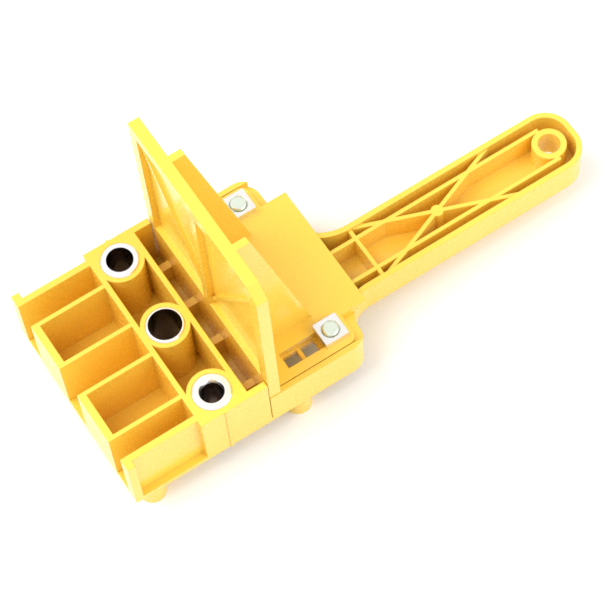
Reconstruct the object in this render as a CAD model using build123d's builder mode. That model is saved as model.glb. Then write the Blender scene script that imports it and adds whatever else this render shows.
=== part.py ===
from build123d import *
import os

# Drill guide: a moulded head with three steel drill sleeves, a ribbed handle and a sliding fence.
# X runs along the handle, Y across the head, Z up. The origin is on the middle sleeve's axis,
# at the underside of the head. Sizes are in millimetres.

# Head
head_front = 33.3
head_rear = 50.0
head_width = 68.0
head_height = 24.0
base_thickness = 2.0
side_wall = 2.1
side_recess = 2.2
post_length = 2.6
centre_mark = 0.8
centre_mark_proud = 0.4
rear_corner_radius = 6.0

# Sleeve row
sleeve_pitch = 26.2
sleeve_diameter = 12.0
sleeve_fit = 0.05
sleeve_proud = 0.4
bore_fit = 0.1
dowel_sizes = {"sleeve_8": (8.0, 1), "sleeve_10": (10.0, 0), "sleeve_6": (6.0, -1)}
countersink_depth = 1.6
boss_diameter = 15.0
row_wall = 1.7
row_front = 8.4
row_rear = 8.5

# Dowel bays and pockets in front of the sleeves
bay_clearance = 0.2
pocket_front_wall = 2.4
pocket_side_wall = 1.4

# Rear deck that carries the fence
deck_front = 14.6
deck_height = 12.0
deck_thickness = 2.0
deck_side_wall = 1.8
slide_clearance = 0.3
gap_rib = 2.6
gap_rib_height = 10.0
gap_rib_places = (24.0, 9.0, -6.0, -24.0)
deck_slot_front = 25.3
deck_slot_length = 11.0
deck_slot_rib = 1.3
deck_slot_width = 4.6

# Fence
fence_thickness = 3.0
plate_top = 79.0
plate_thickness = 3.8
plate_web = 1.8
plate_inset = 0.2
plate_border = 4.0
plate_corner = 4.5
plate_rib = 1.4
middle_rib = 3.0
slab_rear = 56.0
slab_width = 45.0
arm_rear = 47.0
gusset_spacing = 34.0
gusset_thickness = 2.4
gusset_top_length = 4.3
gusset_foot_length = 21.0
slot_travel = 14.0

# Clamp screws and nuts
screw_x = 41.2
screw_spacing = 51.6
screw_diameter = 5.0
screw_clearance = 0.3
thread_fit = 0.05
screw_end_proud = 0.5
head_diameter = 8.5
head_depth = 5.0
hex_key = 4.0
nut_width = 8.0
nut_thickness = 2.7

# Handle
handle_end = 143.0
handle_width = 22.0
handle_offset = -7.3
handle_height = 12.0
handle_wall = 1.8
handle_floor = 2.0
handle_rib = 1.3
handle_rib_spacing = 12.0
handle_corner = 9.0
far_flare = 16.0
hang_hole = 7.0
hang_boss = 11.0
hang_inset = 9.0
hub_x = 92.0
hub_diameter = 4.0
cross_start = 66.0

# Locating pegs underneath
peg_diameter = 8.5
peg_length = 9.0
peg_root = 7.0
peg_x = 26.0
peg_inset = 4.8

half_width = head_width / 2
wall_face = half_width - side_recess
wall_inner = wall_face - side_wall
fence_bottom = deck_height
fence_top = fence_bottom + fence_thickness
plate_front = deck_front
plate_rear = plate_front + plate_thickness
fence_half_width = half_width - deck_side_wall - slide_clearance
plate_half_width = half_width - plate_inset
nut_top = fence_top + nut_thickness
sleeve_places = {name: sleeve_pitch * row for name, (size, row) in dowel_sizes.items()}

# A pocket fills the space between two neighbouring dowel bays.
bay_half = {name: (size + bay_clearance) / 2 for name, (size, row) in dowel_sizes.items()}
pocket_spans = [
    (bay_half["sleeve_10"], sleeve_pitch - bay_half["sleeve_8"]),
    (-sleeve_pitch + bay_half["sleeve_6"], -bay_half["sleeve_10"]),
]


def rectangle_between(x_low, x_high, y_low, y_high, mode=Mode.ADD):
    """Draws a rectangle from its corners in the current sketch."""
    with Locations(((x_low + x_high) / 2, (y_low + y_high) / 2)):
        return Rectangle(x_high - x_low, y_high - y_low, mode=mode)


# Body: one moulding of head, deck, handle and pegs
with BuildPart() as body:
    # Base plate under the pockets and the sleeve row
    with BuildSketch(Plane.XY):
        rectangle_between(-head_front, deck_front, -half_width, half_width)
    extrude(amount=base_thickness)

    # Side walls, corner posts, pockets and the two walls of the sleeve row
    with BuildSketch(Plane.XY):
        for side in (-1, 1):
            rectangle_between(-head_front, -row_front, *sorted((side * wall_inner, side * wall_face)))
            rectangle_between(
                -head_front, -head_front + post_length, *sorted((side * wall_inner, side * half_width))
            )
            rectangle_between(
                -row_front, row_rear, *sorted((side * sleeve_pitch, side * half_width))
            )
            rectangle_between(
                -row_front, deck_front - slide_clearance,
                *sorted((side * (half_width - side_wall), side * half_width))
            )
        rectangle_between(-row_front, -row_front + row_wall, -wall_face, wall_face)
        rectangle_between(row_rear - row_wall, row_rear, -wall_face, wall_face)
        for low, high in pocket_spans:
            rectangle_between(-head_front, -row_front + row_wall / 2, low, high)
            rectangle_between(
                -head_front + pocket_front_wall, -row_front,
                low + pocket_side_wall, high - pocket_side_wall, mode=Mode.SUBTRACT
            )
        with Locations(*[(0, y) for y in sleeve_places.values()]):
            Circle(boss_diameter / 2)
    extrude(amount=head_height)

    # Ribs across the gap between the sleeve row and the fence
    with BuildSketch(Plane.XY):
        for y in gap_rib_places:
            rectangle_between(row_rear - row_wall / 2, deck_front + 1, y - gap_rib / 2, y + gap_rib / 2)
    extrude(amount=gap_rib_height)

    # Raised centre marks on both sides, in line with the sleeves
    with BuildSketch(Plane.XY):
        Rectangle(centre_mark, head_width + 2 * centre_mark_proud)
        Rectangle(2 * centre_mark, head_width - 2 * side_wall, mode=Mode.SUBTRACT)
    extrude(amount=head_height)

    # Side walls of the rear part, standing as high as the fence's base
    with BuildSketch(Plane.XY) as rear_plan:
        rectangle_between(deck_front, head_rear, -half_width, half_width)
        fillet(rear_plan.vertices().group_by(Axis.X)[-1], rear_corner_radius)
        rectangle_between(
            deck_front - 1, head_rear + 1,
            -half_width + deck_side_wall, half_width - deck_side_wall, mode=Mode.SUBTRACT
        )
    extrude(amount=fence_top)

    # Deck, with an end wall and stiffening ribs under it
    with BuildSketch(Plane.XY) as deck_plan:
        rectangle_between(deck_front, head_rear, -half_width, half_width)
        fillet(deck_plan.vertices().group_by(Axis.X)[-1], rear_corner_radius)
    extrude(amount=deck_height)
    with BuildSketch(Plane.XY) as deck_hollow:
        rectangle_between(
            deck_front + deck_side_wall, head_rear - deck_side_wall,
            -half_width + deck_side_wall, half_width - deck_side_wall
        )
        fillet(deck_hollow.vertices().group_by(Axis.X)[-1], rear_corner_radius - deck_side_wall)
        for y in (-gusset_spacing / 2, 0, gusset_spacing / 2):
            rectangle_between(
                deck_front, head_rear, y - deck_side_wall / 2, y + deck_side_wall / 2, mode=Mode.SUBTRACT
            )
    extrude(amount=deck_height - deck_thickness, mode=Mode.SUBTRACT)

    # Slots in the deck under the fence's slots, each crossed by one rib
    with BuildSketch(Plane.XY.offset(deck_height + 1)):
        for side in (-1, 1):
            with Locations((deck_slot_front + deck_slot_length / 2, side * screw_spacing / 2)):
                Rectangle(deck_slot_length, deck_slot_width)
                Rectangle(deck_slot_rib, deck_slot_width, mode=Mode.SUBTRACT)
    extrude(amount=-deck_thickness - 2, mode=Mode.SUBTRACT)

    # Handle: a shallow tray, open at the top, whose walls flare into the head's rear corners
    far_edge = handle_offset + handle_width / 2
    near_edge = handle_offset - handle_width / 2
    flare_side = half_width - rear_corner_radius
    near_flare = flare_side + near_edge
    with BuildSketch(Plane.XY) as handle_plan:
        with BuildLine():
            Polyline(
                (head_rear, -flare_side), (head_rear - handle_wall, -flare_side),
                (head_rear - handle_wall, far_edge + far_flare), (head_rear, far_edge + far_flare)
            )
            CenterArc((head_rear + far_flare, far_edge + far_flare), far_flare, 180, 90)
            Polyline(
                (head_rear + far_flare, far_edge), (handle_end, far_edge),
                (handle_end, near_edge), (head_rear + near_flare, near_edge)
            )
            CenterArc((head_rear + near_flare, -flare_side), near_flare, 90, 90)
        make_face()
        fillet(handle_plan.vertices().group_by(Axis.X)[-1], handle_corner)
    extrude(amount=handle_height)
    with BuildSketch(Plane.XY.offset(handle_floor)):
        add(handle_plan.sketch)
        offset(amount=-handle_wall, mode=Mode.REPLACE)
    extrude(amount=handle_height, mode=Mode.SUBTRACT)

    # Ribs inside the handle, its centre hub and the boss of the hanging hole
    with BuildSketch(Plane.XY):
        for side in (-1, 1):
            y = handle_offset + side * handle_rib_spacing / 2
            rectangle_between(head_rear, handle_end - hang_inset, y - handle_rib / 2, y + handle_rib / 2)
            for reach in (-1, 1):
                span = hub_x - cross_start
                with BuildLine():
                    Line(
                        (hub_x, handle_offset),
                        (hub_x + reach * span, handle_offset + side * (handle_width - handle_wall) / 2)
                    )
                trace(line_width=handle_rib)
        rectangle_between(
            cross_start - handle_rib / 2, cross_start + handle_rib / 2,
            handle_offset - handle_width / 2 + handle_wall / 2, handle_offset + handle_width / 2 - handle_wall / 2
        )
        with Locations((hub_x, handle_offset)):
            Circle(hub_diameter / 2)
        with Locations((handle_end - hang_inset, handle_offset)):
            Circle(hang_boss / 2)
    extrude(amount=handle_height - 1)
    with Locations((handle_end - hang_inset, handle_offset, handle_height)):
        Hole(hang_hole / 2)

    # Pegs underneath, in two pairs either side of the sleeve row
    with BuildSketch(Plane.XY.offset(-peg_length)):
        with GridLocations(2 * peg_x, head_width - 2 * peg_inset, 2, 2):
            Circle(peg_diameter / 2)
    extrude(amount=peg_length + base_thickness)
    with BuildSketch(Plane.XY):
        with Locations(*[(peg_x, side * (half_width - peg_inset)) for side in (-1, 1)]):
            Circle(peg_diameter / 2)
    extrude(amount=peg_root)

    # Holes for the sleeves and the clamp screws
    with Locations(*[(0, y, head_height) for y in sleeve_places.values()]):
        Hole(sleeve_diameter / 2 + sleeve_fit)
    with Locations(*[(screw_x, side * screw_spacing / 2, deck_height) for side in (-1, 1)]):
        Hole(screw_diameter / 2 + screw_clearance)

body.part.label = "body"

# Fence: slotted base, upright plate with a ribbed front, and two gussets behind it
with BuildPart() as fence:
    with BuildSketch(Plane.XY.offset(fence_bottom)) as fence_plan:
        rectangle_between(plate_front, arm_rear, -fence_half_width, fence_half_width)
        fillet(fence_plan.vertices().group_by(Axis.X)[-1], rear_corner_radius / 2)
        rectangle_between(plate_rear, slab_rear, -slab_width / 2, slab_width / 2)
        for side in (-1, 1):
            with Locations((screw_x - slot_travel / 2, side * screw_spacing / 2)):
                Rectangle(
                    slot_travel + screw_diameter + 2 * screw_clearance,
                    screw_diameter + 2 * screw_clearance, mode=Mode.SUBTRACT
                )
    extrude(amount=fence_thickness)

    # Upright plate with its near top corner cut off
    with BuildSketch(Plane.YZ.offset(plate_front)) as plate_face:
        rectangle_between(-plate_half_width, plate_half_width, fence_top + slide_clearance, plate_top)
        top_corners = plate_face.vertices().group_by(Axis.Y)[-1]
        chamfer(top_corners.sort_by(Axis.X)[0], plate_corner)
        rectangle_between(-fence_half_width, fence_half_width, fence_bottom, plate_top - plate_corner)
    extrude(amount=plate_thickness)

    # Recess in the plate's front, split by an upright rib in the middle, with a slanting brace in each half
    recess_bottom = head_height
    recess_top = plate_top - plate_border
    recess_half = plate_half_width - plate_border
    with BuildSketch(Plane.YZ.offset(plate_front)) as recess:
        rectangle_between(-recess_half, recess_half, recess_bottom, recess_top)
        chamfer(recess.vertices().group_by(Axis.Y)[-1].sort_by(Axis.X)[0], plate_corner)
        rectangle_between(-middle_rib / 2, middle_rib / 2, recess_bottom, recess_top, mode=Mode.SUBTRACT)
    extrude(amount=plate_thickness - plate_web, mode=Mode.SUBTRACT)
    with BuildSketch(Plane.YZ.offset(plate_rear - plate_web)):
        for side in (-1, 1):
            with BuildLine(mode=Mode.PRIVATE) as brace:
                Line((side * recess_half, recess_top - plate_corner), (0, recess_bottom))
            trace(brace.line, line_width=plate_rib)
    extrude(amount=-(plate_thickness - plate_web) / 2)

    # Gussets from the back of the plate down to the base
    for side in (-1, 1):
        with BuildSketch(Plane.XZ.offset(-side * gusset_spacing / 2)):
            with BuildLine():
                Polyline(
                    (plate_rear - 1, fence_top - 1), (plate_rear + gusset_foot_length, fence_top - 1),
                    (plate_rear + gusset_foot_length, fence_top),
                    (plate_rear + gusset_top_length, plate_top), (plate_rear - 1, plate_top), close=True
                )
            make_face()
        extrude(amount=gusset_thickness / 2, both=True)

fence.part.label = "fence"


def make_sleeve(bore, countersunk):
    """Makes one steel drill sleeve standing on the origin."""
    length = head_height + sleeve_proud
    with BuildPart() as sleeve:
        Cylinder(sleeve_diameter / 2, length, align=(Align.CENTER, Align.CENTER, Align.MIN))
        chamfer(sleeve.edges().group_by(Axis.Z)[-1], 0.4)
        with Locations((0, 0, length)):
            if countersunk:
                CounterSinkHole(bore / 2, bore / 2 + countersink_depth / 2, counter_sink_angle=60)
            else:
                Hole(bore / 2)
                chamfer(sleeve.edges().filter_by(GeomType.CIRCLE).sort_by(SortBy.RADIUS)[:1], 0.3)
    return sleeve.part


os.makedirs("parts", exist_ok=True)
export_step(body.part, "parts/body.step")
export_step(fence.part, "parts/fence.step")

for name, (size, row) in dowel_sizes.items():
    piece = Pos(0, sleeve_places[name], 0) * make_sleeve(size + bore_fit, name == "sleeve_6")
    piece.label = name
    export_step(piece, f"parts/{name}.step")

# Clamp screws come up from under the deck into square nuts on the fence's base.
for side, place in ((1, "far"), (-1, "near")):
    y = side * screw_spacing / 2
    with BuildPart() as screw:
        with BuildSketch(Plane.XY.offset(deck_height - deck_thickness - head_depth)):
            with Locations((screw_x, y)):
                Circle(head_diameter / 2)
        extrude(amount=head_depth)
        with BuildSketch(Plane.XY.offset(deck_height - deck_thickness)):
            with Locations((screw_x, y)):
                Circle(screw_diameter / 2)
        extrude(amount=nut_top + screw_end_proud - deck_height + deck_thickness)
        chamfer(screw.edges().group_by(Axis.Z)[-1], 0.4)
        with BuildSketch(Plane.XY.offset(deck_height - deck_thickness - head_depth)):
            with Locations((screw_x, y)):
                RegularPolygon(hex_key / 2, 6, major_radius=False)
        extrude(amount=head_depth / 2, mode=Mode.SUBTRACT)
    screw.part.label = f"screw_{place}"
    export_step(screw.part, f"parts/screw_{place}.step")

    with BuildPart() as nut:
        with BuildSketch(Plane.XY.offset(fence_top)) as nut_plan:
            with Locations((screw_x, y)):
                Rectangle(nut_width, nut_width)
            fillet(nut_plan.vertices(), 0.4)
        extrude(amount=nut_thickness)
        with Locations((screw_x, y, nut_top)):
            CounterSinkHole(screw_diameter / 2 + thread_fit, screw_diameter / 2 + 0.5, counter_sink_angle=90)
    nut.part.label = f"nut_{place}"
    export_step(nut.part, f"parts/nut_{place}.step")
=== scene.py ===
import math

import bpy
from mathutils import Matrix, Vector


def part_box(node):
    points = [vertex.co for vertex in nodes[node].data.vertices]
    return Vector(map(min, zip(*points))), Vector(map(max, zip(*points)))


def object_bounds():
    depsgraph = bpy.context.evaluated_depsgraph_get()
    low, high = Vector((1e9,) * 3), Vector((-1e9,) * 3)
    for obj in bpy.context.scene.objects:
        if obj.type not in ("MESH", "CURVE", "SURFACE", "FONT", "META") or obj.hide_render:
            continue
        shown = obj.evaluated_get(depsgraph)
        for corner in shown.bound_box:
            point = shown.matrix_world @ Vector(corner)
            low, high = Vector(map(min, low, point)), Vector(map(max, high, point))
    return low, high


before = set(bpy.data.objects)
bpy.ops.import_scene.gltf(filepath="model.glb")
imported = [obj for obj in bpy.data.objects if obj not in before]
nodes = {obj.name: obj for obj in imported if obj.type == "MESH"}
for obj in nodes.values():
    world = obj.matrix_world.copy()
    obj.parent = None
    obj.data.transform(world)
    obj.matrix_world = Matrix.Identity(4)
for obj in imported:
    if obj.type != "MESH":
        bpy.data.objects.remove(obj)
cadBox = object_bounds()
print("frame loaded")

# lengths are in metres unless a comment says otherwise
view = {
    "place": (-0.11165, -0.30795, 0.66066),
    "aim": (0.04324, -0.00564, 0.0),
    "roll": -6.38,  # degrees
    "focal": 2421.0,  # in pixels of the picture
    "picture": 605.0,  # in pixels
    "sensor": 36.0,  # millimetres
    "clipEnd": 10.0,
}

studio = {
    "white": (1.0, 1.0, 1.0, 1.0),
    "world": 0.72,
    "seen": 1.0,
    "floor": (0.97, 0.97, 0.97, 1.0),
    "floorSize": 6.0,
    "floorRoughness": 0.9,
    "lampSize": 0.8,
    "lampAim": (0.03, 0.0, 0.02),
}

# each lamp's place and its power in watts
lamps = {
    "keyLamp": ((-0.5, 0.2, 0.9), 9.0),
    "fillLamp": ((0.6, -0.6, 0.7), 5.0),
}

plastic = {
    "light": (0.965, 0.665, 0.085, 1.0),
    "deep": (0.950, 0.610, 0.062, 1.0),
    "roughness": 0.24,
    "roughnessSpread": 0.06,
    "edge": 0.00035,
    "edgeSamples": 6,
    "cloudScale": 38.0,
    "cloudDetail": 3.0,
    "cloudHeight": 0.6,
    "grainScale": 900.0,
    "grainDetail": 2.0,
    "grainHeight": 0.08,
    "bumpStrength": 0.25,
    "bumpDistance": 0.0003,
    "ior": 1.5,
    "coat": 0.25,
    "coatRoughness": 0.12,
}

# what the ground and the plated metals have in common
metal = {
    "roughnessSpread": 0.12,
    "streakDetail": 4.0,
    "edge": 0.00015,
    "edgeSamples": 4,
    "bumpStrength": 0.12,
    "bumpDistance": 0.0001,
}

steel = {
    "colour": (0.93, 0.93, 0.94, 1.0),
    # painted shade: the dark brown of the shadowed inside of each sleeve's bore
    "bore": (0.085, 0.050, 0.045, 1.0),
    "roughness": 0.16,
    "streakScale": 700.0,
    "boreFit": 0.00005,
    "boreEdge": 0.00012,
}

zinc = {
    "colour": (0.84, 0.82, 0.79, 1.0),
    "roughness": 0.30,
    "streakScale": 500.0,
}

greenZinc = {
    "colour": (0.74, 0.80, 0.68, 1.0),
    "roughness": 0.30,
    "streakScale": 500.0,
}


# a node's output that can be used in sums
class Signal:
    def __init__(self, tree, socket):
        self.tree = tree
        self.socket = socket

    def maths(self, operation, other):
        node = self.tree.nodes.new("ShaderNodeMath")
        node.operation = operation
        for index, value in enumerate((self, other)):
            if isinstance(value, Signal):
                self.tree.links.new(value.socket, node.inputs[index])
            else:
                node.inputs[index].default_value = value
        return Signal(self.tree, node.outputs[0])

    def __add__(self, other):
        return self.maths("ADD", other)

    def __sub__(self, other):
        return self.maths("SUBTRACT", other)

    def __mul__(self, other):
        return self.maths("MULTIPLY", other)


class Finish:
    def __init__(self, name):
        self.material = bpy.data.materials.new(name)
        self.material.use_nodes = True
        self.tree = self.material.node_tree
        self.shader = self.tree.nodes["Principled BSDF"]

    # makes a node: its settings first, then the values or links of its sockets
    def node(self, kind, output=0, settings=None, **values):
        made = self.tree.nodes.new(kind)
        for key, value in (settings or {}).items():
            setattr(made, key, value)
        for key, value in values.items():
            self.feed(made.inputs[key], value)
        return Signal(self.tree, made.outputs[output])

    def feed(self, socket, value):
        if isinstance(value, Signal):
            self.tree.links.new(value.socket, socket)
        else:
            socket.default_value = value

    def surface(self, **values):
        for key, value in values.items():
            self.feed(self.shader.inputs[key.replace("_", " ")], value)


def mixColours(finish, factor, first, second):
    mix = finish.tree.nodes.new("ShaderNodeMix")
    mix.data_type = "RGBA"
    finish.feed(mix.inputs[0], factor)
    finish.feed(mix.inputs[6], first)
    finish.feed(mix.inputs[7], second)
    return Signal(finish.tree, mix.outputs[2])


def addNoise(finish, place, scale, detail):
    return finish.node("ShaderNodeTexNoise", Vector=place, Scale=scale, Detail=detail)


# the surface's relief, over edges that the render rounds off
def relief(finish, look, height):
    rounded = finish.node(
        "ShaderNodeBevel", settings={"samples": look["edgeSamples"]}, Radius=look["edge"],
    )
    return finish.node(
        "ShaderNodeBump", Height=height, Normal=rounded,
        Strength=look["bumpStrength"], Distance=look["bumpDistance"],
    )


def mouldedPlastic():
    finish = Finish("yellowPlastic")
    place = finish.node("ShaderNodeTexCoord", output="Object")
    cloud = addNoise(finish, place, plastic["cloudScale"], plastic["cloudDetail"])
    grain = addNoise(finish, place, plastic["grainScale"], plastic["grainDetail"])
    height = cloud * plastic["cloudHeight"] + grain * plastic["grainHeight"]
    finish.surface(
        Base_Color=mixColours(finish, cloud, plastic["light"], plastic["deep"]),
        Roughness=grain * plastic["roughnessSpread"] + plastic["roughness"],
        Normal=relief(finish, plastic, height), IOR=plastic["ior"],
        Coat_Weight=plastic["coat"], Coat_Roughness=plastic["coatRoughness"],
    )
    return finish.material


# 1 on and inside the wall of an upright bore, 0 outside it: where the bore's painted shade goes
def boreMask(finish, place, middle, reach):
    parts = finish.tree.nodes.new("ShaderNodeSeparateXYZ")
    finish.feed(parts.inputs[0], place)
    across = Signal(finish.tree, parts.outputs[0]) - middle.x
    along = Signal(finish.tree, parts.outputs[1]) - middle.y
    return (across * across + along * along).maths("LESS_THAN", reach * reach)


# metal with fine streaks; where a bore is given, its wall gets painted shade, a dark brown that
# stands in for the shadowed inside of the bore
def streakedMetal(name, look, bore=None):
    finish = Finish(name)
    place = finish.node("ShaderNodeTexCoord", output="Object")
    streak = addNoise(finish, place, look["streakScale"], metal["streakDetail"])
    colour = look["colour"]
    if bore:
        colour = mixColours(finish, boreMask(finish, place, *bore), colour, look["bore"])
    finish.surface(
        Base_Color=colour, Metallic=1.0,
        Roughness=streak * metal["roughnessSpread"] + look["roughness"],
        Normal=relief(finish, metal, streak),
    )
    return finish.material


# a sleeve's name ends in its drill size in millimetres
def sleeveFinish(name):
    low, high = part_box(name)
    boreRadius = float(name.split("_")[1]) / 2000 + steel["boreFit"]
    return streakedMetal(name + "Steel", steel, ((low + high) / 2, boreRadius + steel["boreEdge"]))


plasticFinish = mouldedPlastic()
nutFinish = streakedMetal("zincSteel", zinc)
screwFinish = streakedMetal("screwSteel", greenZinc)
print("materials made")


def finishFor(name):
    if name.startswith("sleeve"):
        return sleeveFinish(name)
    if name.startswith("nut"):
        return nutFinish
    if name.startswith("screw"):
        return screwFinish
    return plasticFinish


for name, node in nodes.items():
    node.data.materials.clear()
    node.data.materials.append(finishFor(name))
print("CAD nodes finished")


def addFloor():
    bpy.ops.mesh.primitive_plane_add(size=studio["floorSize"], location=(0.0, 0.0, cadBox[0].z))
    floor = bpy.context.object
    floor.name = "floor"
    material = bpy.data.materials.new("paleFloor")
    material.use_nodes = True
    base = material.node_tree.nodes["Principled BSDF"]
    base.inputs["Base Color"].default_value = studio["floor"]
    base.inputs["Roughness"].default_value = studio["floorRoughness"]
    floor.data.materials.append(material)


# turns something that looks down its own -Z towards a point
def aimed(place, aim):
    away = Vector(aim) - Vector(place)
    return Matrix.Translation(place) @ away.to_track_quat("-Z", "Y").to_matrix().to_4x4()


def addCamera():
    data = bpy.data.cameras.new("camera")
    data.sensor_width = view["sensor"]
    data.lens = view["sensor"] * view["focal"] / view["picture"]
    data.clip_end = view["clipEnd"]
    camera = bpy.data.objects.new("camera", data)
    bpy.context.scene.collection.objects.link(camera)
    roll = Matrix.Rotation(math.radians(view["roll"]), 4, "Z")
    camera.matrix_world = aimed(view["place"], view["aim"]) @ roll
    bpy.context.scene.camera = camera


def addLamp(name, place, power):
    data = bpy.data.lights.new(name, "AREA")
    data.shape = "SQUARE"
    data.size = studio["lampSize"]
    data.energy = power
    lamp = bpy.data.objects.new(name, data)
    bpy.context.scene.collection.objects.link(lamp)
    lamp.matrix_world = aimed(place, studio["lampAim"])


# soft light on the part, plain white where the background itself is seen
def addWorld():
    world = bpy.data.worlds.new("studio")
    bpy.context.scene.world = world
    world.use_nodes = True
    tree = world.node_tree
    tree.nodes.clear()
    rays = tree.nodes.new("ShaderNodeLightPath")
    seen = Signal(tree, rays.outputs["Is Camera Ray"])
    for ray in ("Is Glossy Ray", "Is Transmission Ray"):
        seen = seen.maths("MAXIMUM", Signal(tree, rays.outputs[ray]))
    mix = tree.nodes.new("ShaderNodeMixShader")
    out = tree.nodes.new("ShaderNodeOutputWorld")
    tree.links.new(seen.socket, mix.inputs[0])
    for index, strength in ((1, studio["world"]), (2, studio["seen"])):
        background = tree.nodes.new("ShaderNodeBackground")
        background.inputs["Color"].default_value = studio["white"]
        background.inputs["Strength"].default_value = strength
        tree.links.new(background.outputs[0], mix.inputs[index])
    tree.links.new(mix.outputs[0], out.inputs[0])


addFloor()
addCamera()
addWorld()
for lampName, (lampPlace, lampPower) in lamps.items():
    addLamp(lampName, lampPlace, lampPower)
bpy.context.scene.view_settings.view_transform = "Standard"
print("stage, lamps and camera set")
